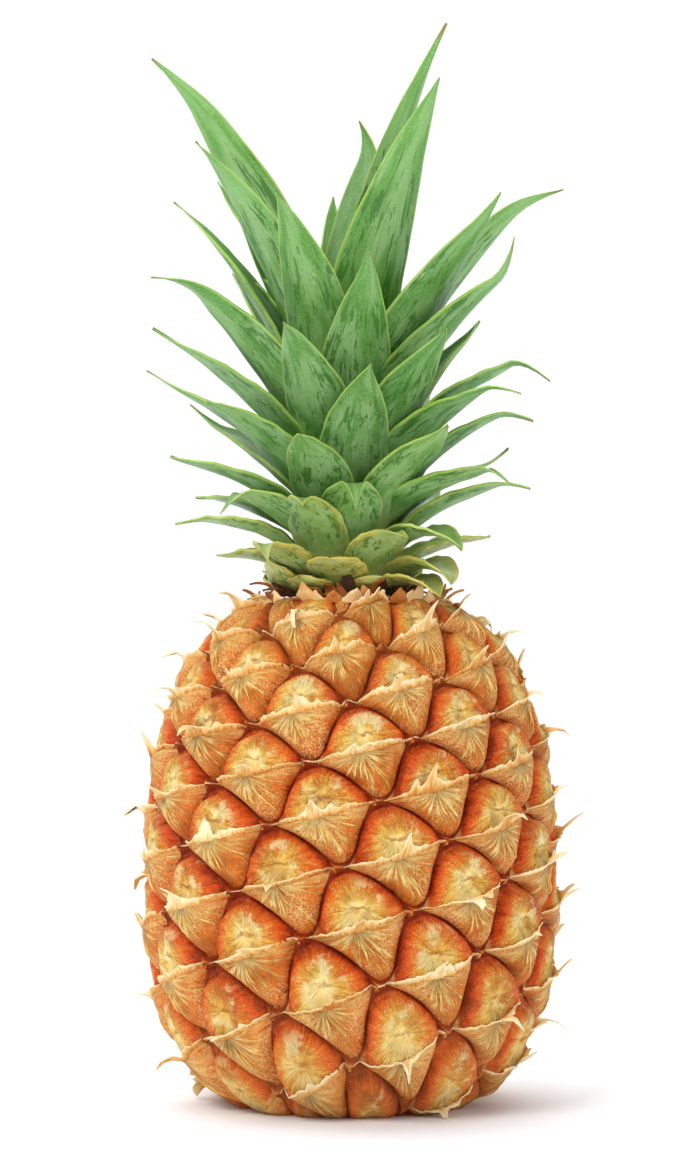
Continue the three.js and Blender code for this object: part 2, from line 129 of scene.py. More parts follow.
class Finish:
    """One finish, built up from layers of nodes."""

    def __init__(self, name):
        self.material = bpy.data.materials.new(name)
        self.material.use_nodes = True
        self.tree = self.material.node_tree
        self.shader = self.tree.nodes["Principled BSDF"]

    def give(self, socket, value):
        if isinstance(value, bpy.types.NodeSocket):
            self.tree.links.new(value, socket)
        else:
            socket.default_value = value

    def add(self, kind, inputs, output=0, **settings):
        made = self.tree.nodes.new("ShaderNode" + kind)
        for key, value in settings.items():
            setattr(made, key, value)
        for key, value in inputs.items():
            self.give(made.inputs[key], value)
        return made.outputs[output]

    def spot(self):
        """The place on the object, in metres."""
        return self.add("TexCoord", {}, 3)

    def parts(self, vector):
        """The x, y and z of a vector."""
        made = self.tree.nodes.new("ShaderNodeSeparateXYZ")
        self.give(made.inputs[0], vector)
        return made.outputs

    def sheet_place(self):
        """Across and along the flat pattern that the piece was laid out from, 0 to 1."""
        return self.parts(self.add("UVMap", {}, uv_map="UVMap"))[:2]

    def tone(self, name):
        """A number that each eye, leaf or scale carries on its faces."""
        return self.add("Attribute", {}, 2, attribute_name=name)

    def math(self, operation, a, b=0.0, c=0.0):
        return self.add("Math", {0: a, 1: b, 2: c}, operation=operation)

    def times(self, a, b):
        return self.math("MULTIPLY", a, b)

    def swayed(self, value, noise, by):
        """The value, raised or lowered by a noise as far as it is off its middle."""
        return self.math("MULTIPLY_ADD", self.math("SUBTRACT", noise, 0.5), by, value)

    def vector(self, operation, a, b=(0, 0, 0), output=0):
        return self.add("VectorMath", {0: a, 1: b}, output, operation=operation)

    def length(self, vector):
        return self.vector("LENGTH", vector, output=1)

    def scaled(self, vector, by):
        return self.add("VectorMath", {0: vector, "Scale": by}, operation="SCALE")

    def combined(self, x, y, z=0.0):
        return self.add("CombineXYZ", {0: x, 1: y, 2: z})

    def noise(self, vector, scale, detail=3.0, roughness=0.55, distortion=0.0):
        return self.add("TexNoise", {
            "Vector": vector, "Scale": scale, "Detail": detail,
            "Roughness": roughness, "Distortion": distortion})

    def between(self, value, low, high, out_low=0.0, out_high=1.0):
        return self.add("MapRange", {0: value, 1: low, 2: high, 3: out_low, 4: out_high},
                        interpolation_type="SMOOTHSTEP")

    def mixed(self, share, low, high):
        return self.add("Mix", {0: share, 6: low, 7: high}, 2, data_type="RGBA")

    def ramp(self, share, stops):
        """Colours one after another: each stop has its place, 0 to 1, and its red, green and blue."""
        made = self.tree.nodes.new("ShaderNodeValToRGB")
        band = made.color_ramp
        while len(band.elements) < len(stops):
            band.elements.new(1)
        for element, (place, colour) in zip(band.elements, stops):
            element.position = place
            element.color = srgb(*colour)
        self.give(made.inputs[0], share)
        return made.outputs[0]

    def finish(self, colour, roughness, height=None, depth=0.0, specular=0.4):
        self.give(self.shader.inputs["Base Color"], colour)
        self.give(self.shader.inputs["Roughness"], roughness)
        self.shader.inputs["Specular IOR Level"].default_value = specular
        if height is not None:
            bump = self.add("Bump", {"Strength": 1.0, "Distance": depth, "Height": height})
            self.give(self.shader.inputs["Normal"], bump)
        return self.material


sweep = Finish("white_sweep")
floor.data.materials.append(sweep.finish(srgb(*FLOOR_COLOUR), 0.9, specular=0.1))

# ---------------------------------------------------------------------------
# The fruit's rind: about a hundred berries grown together on one spiral. Each berry shows as an eye
# with a smooth waxy disc above and a dry leaf-like bract below, and a deep groove runs round it.
MM = 0.001
BODY_RADIUS = 58.4
WIDEST_Z = 64.0
LOWER_REACH = 70.5
LOWER_POWER = 2.6
UPPER_REACH = 86.6
UPPER_POWER = 2.5
FRUIT_TOP_Z = 146.2
CUT_MARGIN = 0.5
PAST_CUT_CROWDING = 6
PROFILE_STEPS = 420
DIVERGENCE_DEG = 137.621
FIRST_EYE_DEG = 0.7
FIRST_EYE_ARC = 64.6
EYE_STEP = 1.4346
EYE_SHRINK = 0.3285
EYE_SHRINK_Z = 75.0
ROW_TWIST_DEG = 3.1
TWIST_ARC = 85.0
TWIST_SPAN = 50.0
ROW_A = 8
ROW_B = 13
TURN_A = math.radians(360 * 3 - ROW_A * DIVERGENCE_DEG)
TURN_B = math.radians(360 * 5 - ROW_B * DIVERGENCE_DEG)
GROOVE_DEPTH = 2.7
DISC_RISE = 0.7
BRACT_RISE = 2.2
RELIEF_FADE_Z = 136.0
RELIEF_AT_TOP = 0.4
RELIEF_AT_BASE = 0.4
BASE_FADE_Z = 7.0
SLOPE_STEP = 0.6
EYE_FACES = 26
EDGE_CROWDING = 0.3
ARCH_PUSH = 0.11
LEFT_PULL = 1.25
LEFT_PULL_FALL = 3.4
RIDGE_SAG = 0.03
CELL_SQUARENESS = 5
DISC_SQUARENESS = 2.5
DISC_LEFT_END = 0.72
NAVEL = (0.066, 0.162)
ACROSS_A, UP_A = -25.2, 11.1
ACROSS_B, UP_B = 10.2, 19.1
SEED = 11
FULL_TURN = 6.28
RIPPLE_WAVES = 4
RIPPLE_PITCH = 1.6
RIPPLE_HEIGHT = 2.4


def chance(item, channel):
    """A number from 0 to 1 that is always the same for the same item."""
    wave = math.sin(item * 127.1 + channel * 311.7 + SEED * 74.7) * 43758.5453
    return wave - math.floor(wave)


def mix(low, high, share):
    return low + (high - low) * share


def smooth(value):
    value = np.clip(value, 0, 1)
    return value * value * (3 - 2 * value)


def body_profile():
    """The barrel from pole to pole: radius, height, length so far and count of eyes so far."""
    rows = []
    for i in range(1, PROFILE_STEPS):
        angle = math.pi * (i / PROFILE_STEPS - 0.5)
        reach, power = (-LOWER_REACH, LOWER_POWER) if angle < 0 else (UPPER_REACH, UPPER_POWER)
        r = BODY_RADIUS * math.cos(angle) ** (2 / power)
        z = WIDEST_Z + reach * abs(math.sin(angle)) ** (2 / power)
        before = rows[-1] if rows else (r, z, 0.0, 0.0)
        step = math.hypot(r - before[0], z - before[1])
        kept = -CUT_MARGIN < z < FRUIT_TOP_Z + CUT_MARGIN
        size = EYE_STEP * (1 - EYE_SHRINK * (z - EYE_SHRINK_Z) / EYE_SHRINK_Z)
        crowding = r / BODY_RADIUS if kept else PAST_CUT_CROWDING
        rows.append((r, z, before[2] + step, before[3] + step * crowding / size))
    return np.array(rows).T


body_r, body_z, body_arc, body_count = body_profile()
BASE_ARC = float(np.interp(0, body_z, body_arc))
FIRST_COUNT = float(np.interp(BASE_ARC + FIRST_EYE_ARC, body_arc, body_count))
LOWEST_COUNT = float(np.interp(-CUT_MARGIN, body_z, body_count))
HIGHEST_COUNT = float(np.interp(FRUIT_TOP_Z + CUT_MARGIN, body_z, body_count))
HALF_EYE = (ROW_A + ROW_B) / 2
FIRST_EYE = math.floor(LOWEST_COUNT - FIRST_COUNT - HALF_EYE)
LAST_EYE = math.ceil(HIGHEST_COUNT - FIRST_COUNT + HALF_EYE)


def on_body(azimuth, count, lift, up=0.0):
    """Points over the barrel, lifted outwards and moved up along it, in metres."""
    arc = np.interp(count, body_count, body_arc)
    r = np.interp(arc, body_arc, body_r)
    z = np.interp(arc, body_arc, body_z)
    above, below = arc + SLOPE_STEP, arc - SLOPE_STEP
    along_r = np.interp(above, body_arc, body_r) - np.interp(below, body_arc, body_r)
    along_z = np.interp(above, body_arc, body_z) - np.interp(below, body_arc, body_z)
    length = np.hypot(along_r, along_z)
    out_r = r + (along_z * lift + along_r * up) / length
    out_z = z + (-along_r * lift + along_z * up) / length
    turn = azimuth + math.radians(ROW_TWIST_DEG) * ((arc - BASE_ARC - TWIST_ARC) / TWIST_SPAN) ** 2
    return np.stack([out_r * np.sin(turn), -out_r * np.cos(turn), out_z], -1) * MM


def eye_place(n, u, v):
    """Where share u, v of eye n lies on the spiral: the grooves bow round the discs like arches."""
    a = u - LEFT_PULL * (v + 0.5) * np.clip(0.5 - v, 0, 1) ** LEFT_PULL_FALL * (2 * u) ** 2
    b = v + ARCH_PUSH * (1 - (2 * u) ** 2) * (1 + 0.5 * u) * (2 * v) ** 2
    sag = RIDGE_SAG * (1 - 4 * u * u) * (1 - 4 * v * v)
    a, b = a - sag, b - sag
    azimuth = math.radians(FIRST_EYE_DEG - DIVERGENCE_DEG * n) + a * TURN_A + b * TURN_B
    count = FIRST_COUNT + n + ROW_A * a + ROW_B * b
    height = np.interp(count, body_count, body_z)
    fade = mix(1, RELIEF_AT_TOP, smooth((height - RELIEF_FADE_Z) / (FRUIT_TOP_Z - RELIEF_FADE_Z)))
    fade = fade * mix(RELIEF_AT_BASE, 1, smooth(height / BASE_FADE_Z))
    return azimuth, count, fade


def ripple(x, y, item):
    """A soft random wave, different for each item."""
    waves = 0
    for k in range(RIPPLE_WAVES):
        turn = FULL_TURN * chance(item, 20 + k)
        pitch = RIPPLE_PITCH ** k
        waves = waves + np.sin(x * pitch * math.cos(turn) + y * pitch * math.sin(turn)
                               + FULL_TURN * chance(item, 30 + k)) / pitch
    return waves / RIPPLE_HEIGHT


def edge_share(u, v, power):
    """How far inside its four-sided cell a place is: 0 on the edge, 1 in the middle."""
    return 1 - ((2 * np.abs(u)) ** power + (2 * np.abs(v)) ** power) ** (1 / power)


def groove_floor(edge):
    """The bottom of the groove, which rises to where four eyes meet."""
    return -GROOVE_DEPTH * (1 - smooth(-edge / 0.14))


def bract_relief(n, u, v):
    """The dry bract under an eye: highest in the middle of its upper edge, with raised folds."""
    edge = edge_share(u, v, CELL_SQUARENESS)
    side = np.clip(np.abs(u - v), 0, 1)
    down = np.clip(-(u + v), 0, 1)
    top = mix(0.9, BRACT_RISE + 0.6 * chance(n, 1), (1 - side ** 1.6) * (1 - down) ** 0.8)
    folds = 0.42 * ripple((u - v) / (0.3 + down) * 9, down * 2, n) * (1 - side)
    body = 1 - np.exp(-(np.clip(edge, 0, 1) / 0.15) ** 1.2)
    return groove_floor(edge) + (top + folds + GROOVE_DEPTH) * body


def disc_relief(n, u, v):
    """The waxy disc of an eye: a low dome with a steep rim, pleated round it, and a navel."""
    square = edge_share(u, v, CELL_SQUARENESS)
    squareness = mix(CELL_SQUARENESS, DISC_SQUARENESS, smooth((u + v - 0.2) / 0.45))
    edge = mix(square, edge_share(u, v, squareness), smooth(square / 0.08))
    dome = 1 - np.exp(-(np.clip(edge, 0, 1) / 0.075) ** 1.8)
    across = ACROSS_A * (u - NAVEL[0]) + ACROSS_B * (v - NAVEL[1])
    up = UP_A * (u - NAVEL[0]) + UP_B * (v - NAVEL[1])
    far = np.hypot(across, up)
    angle = np.arctan2(up, across)
    pleats = 0.1 * np.sin(angle * 23 + 3 * chance(n, 12)) * np.clip(far / 9, 0, 1) ** 2
    bulge = 0.55 * np.exp(-((far - 5.5) / 3.5) ** 2)
    navel = 1.1 * np.exp(-(across ** 2 / 6 + (up + 0.6) ** 2 / 1.6))
    crumple = 0.5 * ripple(u * 38, v * 38, n) * np.exp(-(far / 6) ** 2)
    rim = DISC_RISE + 0.4 * chance(n, 13) + pleats + bulge - navel + crumple
    rim = rim + 0.15 * ripple(u * 14, v * 14, n + 90)
    dome = dome * mix(0.35, 1, smooth((DISC_LEFT_END - (u - v)) / 0.16))
    return groove_floor(edge) + (rim + GROOVE_DEPTH) * dome


def eye_relief(n, u, v):
    return np.where(u + v > 1e-4, disc_relief(n, u, v), bract_relief(n, u, v))


def crowded(share):
    """Moves the lines of a sheet towards its edges, where the groove is."""
    return (1 + EDGE_CROWDING) * share - 4 * EDGE_CROWDING * share ** 3


def points_of(mesh):
    flat = np.zeros(len(mesh.vertices) * 3, np.float32)
    mesh.vertices.foreach_get("co", flat)
    return flat.reshape(-1, 3).astype(float)


def copy_of(pattern, name, points, **tones):
    """A copy of a modelled pattern with its own mesh, laid out on new points."""
    mesh = pattern.data.copy()
    mesh.vertices.foreach_set("co", points.astype(np.float32).ravel())
    for tone, value in tones.items():
        layer = mesh.attributes.new(tone, "FLOAT", "FACE")
        layer.data.foreach_set("value", [value] * len(mesh.polygons))
    made = bpy.data.objects.new(name, mesh)
    bpy.context.collection.objects.link(made)
    return made


def joined(parts, name):
    """The parts as one object, the only one selected."""
    bpy.ops.object.select_all(action="DESELECT")
    for part in parts:
        part.select_set(True)
    bpy.context.view_layer.objects.active = parts[0]
    bpy.ops.object.join()
    whole = bpy.context.object
    whole.name = name
    whole.data.name = name
    return whole


def sheet_pattern(name, across, along):
    """A flat sheet, one wide and one long, with its UV map: the pattern of eyes, blades and scales."""
    bpy.ops.object.select_all(action="DESELECT")
    bpy.ops.mesh.primitive_grid_add(x_subdivisions=across, y_subdivisions=along, size=1)
    made = bpy.context.object
    made.name = name
    return made


def solidified(piece, thickness, offset=0.0):
    """Gives a sheet its thickness and closes its edges."""
    bpy.context.view_layer.objects.active = piece
    wall = piece.modifiers.new("thickness", "SOLIDIFY")
    wall.thickness = thickness
    wall.offset = offset
    bpy.ops.object.modifier_apply(modifier=wall.name)


eye_pattern = sheet_pattern("eye_pattern", EYE_FACES, EYE_FACES)
sheet = points_of(eye_pattern.data)
eye_u, eye_v = crowded(sheet[:, 0]), crowded(sheet[:, 1])
eyes = []
for n in range(FIRST_EYE, LAST_EYE + 1):
    azimuth, count, fade = eye_place(n, eye_u, eye_v)
    points = on_body(azimuth, count, fade * eye_relief(n, eye_u, eye_v))
    if points[:, 2].max() > -0.001 and points[:, 2].min() < (FRUIT_TOP_Z + 1) * MM:
        eyes.append(copy_of(eye_pattern, "eye", points, eye_tone=chance(n, 40), eye_red=chance(n, 41)))
bpy.data.objects.remove(eye_pattern)
fruit_rind = joined(eyes, "fruit_rind")

bpy.ops.object.mode_set(mode="EDIT")
bpy.ops.mesh.select_all(action="SELECT")
bpy.ops.mesh.remove_doubles(threshold=2e-6)


# The hollows at both ends: in the base for the stalk, and in the top for the foot of the crown
HOLLOW_RADIUS = 27.0
HOLLOW_HEIGHT = 2.5
STALK_RADIUS = 12.0
STALK_HEIGHT = 13.0
CROWN_X = -1.5
PEG_RADIUS = 10.6
PEG_LOW_Z = 139.0
GAP = 0.3


def moved_to_circle(piece, radius, middle, height):
    """Moves the selected corners of a piece in edit mode to a circle round a point of the x axis."""
    sheet_now = bmesh.from_edit_mesh(piece.data)
    for corner in sheet_now.verts:
        if corner.select:
            flat = Vector((corner.co.x - middle * MM, corner.co.y, 0)).normalized()
            corner.co = flat * radius * MM + Vector((middle * MM, 0, height * MM))
    bmesh.update_edit_mesh(piece.data)


def ring_drawn_in(steps):
    """Draws the open edge that is selected in to circles, one after another, and closes the last."""
    for radius, middle, height in steps:
        bpy.ops.mesh.extrude_region_move()
        moved_to_circle(bpy.context.object, radius, middle, height)
    bpy.ops.mesh.merge(type="CENTER")


bpy.ops.mesh.select_all(action="SELECT")
bpy.ops.mesh.bisect(plane_co=(0, 0, 0), plane_no=(0, 0, 1), clear_inner=True)
ring_drawn_in([(HOLLOW_RADIUS, 0, 0), (STALK_RADIUS + GAP, 0, HOLLOW_HEIGHT),
               (STALK_RADIUS + GAP, 0, STALK_HEIGHT + GAP)])
bpy.ops.mesh.select_all(action="SELECT")
bpy.ops.mesh.bisect(plane_co=(0, 0, FRUIT_TOP_Z * MM), plane_no=(0, 0, 1), clear_outer=True)
ring_drawn_in([(PEG_RADIUS + GAP, CROWN_X, FRUIT_TOP_Z), (PEG_RADIUS + GAP, CROWN_X, PEG_LOW_Z - GAP)])
bpy.ops.mesh.select_all(action="SELECT")
bpy.ops.mesh.normals_make_consistent(inside=False)
bpy.ops.object.mode_set(mode="OBJECT")
bpy.ops.object.shade_smooth_by_angle(angle=math.radians(55))

rind = Finish("pineapple_rind")
spot = rind.spot()
u, v = (rind.math("SUBTRACT", share, 0.5) for share in rind.sheet_place())
tone = rind.tone("eye_tone")
red = rind.tone("eye_red")


def eye_vector(from_u, from_v):
    """The way across and up the eye from a point of it, in millimetres."""
    du = rind.math("SUBTRACT", u, from_u)
    dv = rind.math("SUBTRACT", v, from_v)
    across = rind.math("MULTIPLY_ADD", du, ACROSS_A, rind.times(dv, ACROSS_B))
    up = rind.math("MULTIPLY_ADD", du, UP_A, rind.times(dv, UP_B))
    return rind.combined(across, up)


def rays(vector, number, along, seed):
    """Streaks that fan out from the point that the vector starts at, about so many round it."""
    way = rind.scaled(rind.vector("NORMALIZE", vector), number)
    far = rind.times(rind.length(vector), along)
    shifted = rind.vector("ADD", way, rind.combined(seed, rind.times(tone, 37.0), far))
    return rind.noise(shifted, 1.0, detail=3, roughness=0.6)


def power5(value):
    return rind.math("POWER", rind.math("ABSOLUTE", rind.times(value, 2.0)), 5.0)


ridge = rind.math("ADD", u, v)
square = rind.math("POWER", rind.math("ADD", power5(u), power5(v)), 0.2)
rounder = rind.length(rind.combined(u, v))
edge = rind.math("MAXIMUM", square, rind.times(rounder, rind.between(ridge, 0.2, 0.6, 0.0, 1.82)))
blotch = rind.noise(spot, 70, detail=4)
mottle = rind.noise(spot, 260, detail=4, roughness=0.65)
grain = rind.noise(spot, 900, detail=3, roughness=0.7)
from_navel = eye_vector(*NAVEL)
navel_far = rind.length(from_navel)
disc_rays = rays(from_navel, 8.0, 0.15, 3.0)
from_tip = eye_vector(0.0, 0.0)
bract_rays = rays(from_tip, 9.0, 0.12, 9.0)

rim_share = rind.times(rind.math("POWER", edge, 1.5), 0.74)
warm = rind.math("MULTIPLY_ADD", navel_far, 0.027, rim_share)
warm = rind.swayed(warm, disc_rays, 0.62)
warm = rind.swayed(warm, blotch, 0.6)
warm = rind.swayed(warm, mottle, 0.45)
warm = rind.swayed(warm, red, 0.16)
disc = rind.ramp(warm, [
    (0.06, (254, 228, 142)), (0.24, (236, 184, 74)), (0.38, (220, 138, 34)),
    (0.56, (220, 104, 16)), (0.78, (210, 72, 6)), (0.96, (156, 46, 4))])
flake = rind.noise(spot, 1900, detail=2, roughness=0.8)
speckle = rind.times(rind.between(flake, 0.5, 0.68), rind.between(warm, 0.8, 0.3, 0.12, 0.6))
disc = rind.mixed(speckle, disc, srgb(252, 230, 168))
scorch = rind.times(rind.between(blotch, 0.54, 0.68), rind.between(mottle, 0.4, 0.65))
disc = rind.mixed(rind.times(scorch, 0.6), disc, srgb(128, 58, 30))
crumple = rind.noise(spot, 190, detail=5, roughness=0.6)
# Darker olive brown in the creases round the navel: painted shade.
painted_crease_shade = rind.times(rind.between(crumple, 0.47, 0.36, 0.0, 0.5), rind.between(navel_far, 8.0, 3.0))
disc = rind.mixed(painted_crease_shade, disc, srgb(184, 116, 40))
# Bright cream on the crumpled folds round the navel: painted highlight.
painted_fold_highlight = rind.times(rind.between(crumple, 0.5, 0.62, 0.0, 0.75), rind.between(navel_far, 7.5, 3.0))
disc = rind.mixed(painted_fold_highlight, disc, srgb(255, 238, 172))
navel_across, navel_up, _ = rind.parts(from_navel)
wander = rind.math("MULTIPLY_ADD", rind.noise(spot, 420, detail=2), 4.0, -2.0)
slit = rind.length(rind.combined(
    rind.times(navel_across, 0.34), rind.math("MULTIPLY_ADD", navel_up, 1.8, wander)))
# Dark brown along the slit of the navel: painted shade in its crease.
painted_slit_shade = rind.times(rind.between(slit, 1.1, 0.3, 0.0, 0.7),
                        rind.between(mottle, 0.35, 0.5, 0.3, 1))
disc = rind.mixed(painted_slit_shade, disc, srgb(150, 80, 26))

fan = rind.math("MULTIPLY_ADD", rind.math("SUBTRACT", bract_rays, 0.5), 1.9,
                rind.times(rind.length(from_tip), 0.045))
fan = rind.swayed(fan, mottle, 0.6)
bract = rind.ramp(fan, [
    (0.0, (252, 228, 156)), (0.14, (226, 168, 74)), (0.3, (188, 104, 26)),
    (0.46, (214, 112, 26)), (0.66, (224, 106, 20)), (0.9, (132, 48, 10))])
bract_speckle = rind.times(rind.between(flake, 0.46, 0.6),
                           rind.between(blotch, 0.62, 0.42, 0.1, 0.75))
bract = rind.mixed(bract_speckle, bract, srgb(248, 212, 142))
bract = rind.mixed(rind.times(rind.between(blotch, 0.55, 0.7), 0.5), bract, srgb(132, 62, 28))

straw_edge = rind.swayed(ridge, mottle, 0.8)
straw_edge = rind.swayed(straw_edge, bract_rays, -1.2)
straw_edge = rind.times(rind.between(straw_edge, -0.34, 0.0, 0.0, 0.6),
                        rind.between(blotch, 0.62, 0.42, 0.45, 1.0))
bract = rind.mixed(straw_edge, bract, srgb(234, 184, 108))

left_end = rind.between(rind.math("SUBTRACT", u, v), DISC_LEFT_END, DISC_LEFT_END - 0.1)
on_disc = rind.times(rind.between(ridge, -0.01, 0.01), left_end)
skin = rind.mixed(on_disc, bract, disc)
# Dark red in the grooves round each eye: the rind's own red there, darkened with painted shade in the
# recess.
groove_edge = rind.swayed(edge, mottle, 0.05)
groove_red_and_shade = rind.times(rind.between(groove_edge, 0.89, 0.97), rind.between(edge, 1.1, 1.0))
skin = rind.mixed(groove_red_and_shade, skin, srgb(140, 42, 8))
height = rind.parts(spot)[2]
pale_top = rind.between(height, 0.1, 0.146, 0.0, 0.16)
skin = rind.mixed(pale_top, skin, srgb(232, 172, 76))
pale_base = rind.between(height, 0.05, 0.0, 0.0, 0.22)
skin = rind.mixed(pale_base, skin, srgb(240, 164, 84))
disc_folds = rind.times(disc_rays, rind.between(navel_far, 0.5, 4.0))
streaks = rind.mixed(rind.between(ridge, -0.01, 0.01), bract_rays, disc_folds)
relief = rind.math("MULTIPLY_ADD", grain, 0.3, rind.times(mottle, 0.35))
relief = rind.math("MULTIPLY_ADD", streaks, 1.5, relief)
fruit_rind.data.materials.append(
    rind.finish(skin, rind.between(mottle, 0.3, 0.7, 0.45, 0.65), relief, 0.0013, specular=0.16))

# The flat seats at both ends and the walls round the stalks: dry, brown, corky flesh
seat = Finish("dry_cut_flesh")
spot = seat.spot()
cork = seat.noise(spot, 500, detail=4, roughness=0.7)
cork_colour = seat.ramp(cork, [
    (0.3, (104, 62, 32)), (0.5, (160, 106, 58)), (0.7, (200, 156, 96))])
fruit_rind.data.materials.append(seat.finish(cork_colour, 0.8, cork, 0.0006, specular=0.15))
SEAT_MARGIN = 0.1
hollow_edge = (HOLLOW_RADIUS + SEAT_MARGIN) * MM
hollow_top = 14 * MM
peg_edge = 12.5 * MM
for face in fruit_rind.data.polygons:
    z, off_axis = face.center.z, face.center.xy.length
    at_base = z < SEAT_MARGIN * MM or z < hollow_top and off_axis < hollow_edge
    at_top = z > (FRUIT_TOP_Z - SEAT_MARGIN) * MM or off_axis < peg_edge
    face.material_index = 1 if at_base or at_top else 0
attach(fruit_rind, "root")
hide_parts("fruit")

# ---------------------------------------------------------------------------
# The free edges of the bracts: thin, dry and papery like straw, ragged, and drawn up in the middle
# to a curled tip. Each grows out of its bract along the ridge under the disc and lies over it.
LIP_ACROSS = 46
LIP_ALONG = 6
LIP_THICK = 0.28
LIP_ROOT = 0.4  # the share of the sheet that is rooted in the bract
LIP_TIP_OFF = 0.3  # how far the tip may stand off the middle
LIP_TIP_NARROW = (0.07, 0.14)
LIP_TIP_TALL = (3.0, 7.6)
LIP_LONGEST = 1.2
LIP_SPUR_TALL = 5.2
LIP_BAND = 0.9
LIP_LEAN = (0.1, 0.95)
LIP_CURL = (0.02, 0.34)
LIP_CREST_Z = (126, 140)
LIP_LOWEST_Z = 4
LIP_HIGHEST_Z = 145.5
EYES_SHOWN = [n for n in range(FIRST_EYE, LAST_EYE + 1)
              if LIP_LOWEST_Z < np.interp(FIRST_COUNT + n, body_count, body_z) < LIP_HIGHEST_Z]

lip_pattern = sheet_pattern("lip_pattern", LIP_ACROSS, LIP_ALONG)
sheet = points_of(lip_pattern.data)
lip_side, lip_rise = 2 * sheet[:, 0], sheet[:, 1] + 0.5
lips = []
for n in EYES_SHOWN:
    free = np.clip((lip_rise - LIP_ROOT) / (1 - LIP_ROOT), 0, 1)
    below = np.clip(1 - lip_rise / LIP_ROOT, 0, 1)
    s = -0.07 * below + 0.1 * (chance(n, 62) - 0.5) * lip_side * (1 - lip_side ** 2)
    azimuth, count, fade = eye_place(n, (s - lip_side) / 2, (s + lip_side) / 2)
    root = bract_relief(n, (s - lip_side) / 2, (s + lip_side) / 2)
    middle = LIP_TIP_OFF * (chance(n, 50) - 0.45)
    narrow = mix(*LIP_TIP_NARROW, chance(n, 51))
    tall = mix(*LIP_TIP_TALL, chance(n, 2)) * (LIP_LONGEST if chance(n, 52) > 0.8 else 1)
    peak = np.clip(1 - np.abs(lip_side - middle) / narrow, 0, 1) ** 1.2
    second = mix(-0.55, 0.55, chance(n, 53))
    spur = LIP_SPUR_TALL * chance(n, 54) ** 2 * np.clip(1 - np.abs(lip_side - second) / 0.1, 0, 1)
    wavy = ripple(lip_side * 8, lip_side * 5, n + 300)
    ragged = LIP_BAND + 1.3 * wavy + 0.7 * ripple(lip_side * 34, lip_side, n + 400)
    low, high = LIP_CREST_Z
    crest = smooth((np.interp(FIRST_COUNT + n, body_count, body_z) - low) / (high - low))
    broad = mix(0.4, 2.6, chance(n, 59)) * np.clip(1 - np.abs(lip_side - middle) / 0.5, 0, 1) ** 1.3
    band = np.clip(ragged, 0.12, 2.6) * (1 - np.abs(lip_side) ** 2)
    long = (band + 0.12 + broad + tall * peak * (1 + 0.5 * crest) + spur) * free
    fade = np.maximum(fade, 0.75)
    lean = mix(*LIP_LEAN, chance(n, 55)) + 0.5 * ripple(lip_side * 6, 0 * lip_side, n + 500) + 0.5 * crest
    curl = mix(*LIP_CURL, chance(n, 56))
    lift = (np.cos(lean) - np.cos(lean + curl * long)) / curl
    up = (np.sin(lean + curl * long) - np.sin(lean)) / curl
    lift = lift + 0.7 * ripple(lip_side * 22, lip_side, n + 600) * free
    seat = root + mix(0.18, -0.45, below) - 0.5 * np.abs(lip_side) ** 12
    points = on_body(azimuth + 0.25 * (chance(n, 3) - 0.5) * long / BODY_RADIUS, count,
                     fade * (seat + lift), fade * up)
    points[:, 2] = np.maximum(points[:, 2], LIP_THICK * MM)
    lips.append(copy_of(lip_pattern, "lip", points, eye_tone=chance(n, 58)))
bpy.data.objects.remove(lip_pattern)
bract_edges = joined(lips, "bract_edges")
solidified(bract_edges, LIP_THICK * MM)
bpy.ops.object.shade_smooth_by_angle(angle=math.radians(60))

paper = Finish("dry_bract_paper")
spot = paper.spot()
side, rise = paper.sheet_place()
tone = paper.tone("eye_tone")
fibres = paper.noise(paper.combined(
    paper.times(side, 46.0),
    paper.times(rise, 2.0),
    paper.times(tone, 31.0)), 1.0, detail=3)
patch = paper.noise(spot, 160, detail=4)
dry = paper.math("MULTIPLY_ADD", rise, 0.55, paper.times(patch, 0.6))
dry = paper.swayed(dry, fibres, 0.7)
dry = paper.swayed(dry, tone, 0.3)
straw = paper.ramp(dry, [
    (0.2, (170, 90, 30)), (0.42, (210, 142, 64)), (0.62, (236, 192, 120)),
    (0.85, (252, 232, 186))])
straw = paper.mixed(paper.between(patch, 0.6, 0.75, 0, 0.5), straw, srgb(150, 84, 42))
bract_edges.data.materials.append(paper.finish(straw, 0.6, fibres, 0.0004, specular=0.15))
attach(bract_edges, "root")

# ---------------------------------------------------------------------------
# Loose fibres on the bracts: pale yellow dry threads that lie from the tip down over each bract, and
# a small dry husk in each corner where the edges of two bracts meet.
FIBRE_SIDES = 5
FIBRE_STEPS = 6
THREADS_AN_EYE = 3
THREAD_SHARE = 0.8
THREAD_SPREAD = 0.34
THREAD_RADIUS = (0.16, 0.3)
HUSK_SHARE = 0.5
HUSK_RADIUS = (0.2, 0.5)
fibre_pattern = sheet_pattern("fibre_pattern", FIBRE_SIDES, FIBRE_STEPS)
sheet = points_of(fibre_pattern.data)
round_it, down_it = sheet[:, 0] * math.tau, sheet[:, 1] + 0.5
threads = []


def add_thread(n, start, end, radius, rise, item):
    """A thread or husk on eye n between two places of it, thickest in the middle."""
    u = mix(start[0], end[0], down_it)
    v = mix(start[1], end[1], down_it)
    thick = radius * (4 * down_it * (1 - down_it)) ** 0.6 + 0.02
    azimuth, count, fade = eye_place(n, u, v)
    bow = rise * np.sin(down_it * math.pi)
    sway = 0.5 * math.sin(item) * np.sin(down_it * math.pi)
    lift = fade * bract_relief(n, u, v) + bow + 0.5 * radius + thick * np.sin(round_it)
    points = on_body(azimuth + (thick * np.cos(round_it) + sway) / BODY_RADIUS, count, lift)
    if points[:, 2].min() > 0:
        threads.append(copy_of(fibre_pattern, "thread", points, eye_tone=chance(item, 60)))


